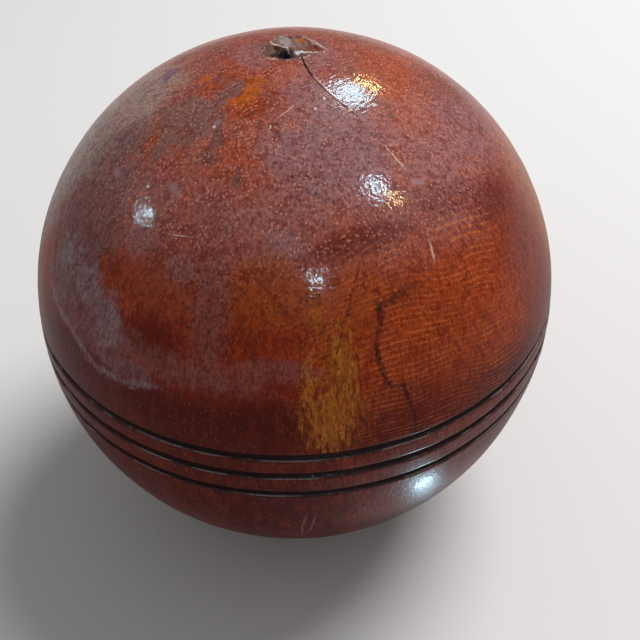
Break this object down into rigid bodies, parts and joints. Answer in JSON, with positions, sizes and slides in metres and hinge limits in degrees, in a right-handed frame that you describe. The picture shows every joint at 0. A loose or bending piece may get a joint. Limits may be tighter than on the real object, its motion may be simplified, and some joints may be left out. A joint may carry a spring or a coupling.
{
  "type": "wooden ball",
  "caption": "Solid turned and varnished wooden game ball, worn, with grooves cut round its middle, a torn lathe centre at its pole and a short drying split.",
  "frame": {"origin": "centre of the ball", "axes": "+Z along the lathe axis and the wood's grain, out through the torn lathe centre, square to the grooves; the split runs from the torn centre towards -Y and +X"},
  "size_m": [0.092, 0.092, 0.0919],
  "materials": {
    "varnished_wood": "gloss"
  },
  "bodies": {
    "root": {"ball": "varnished_wood"}
  },
  "joints": []
}
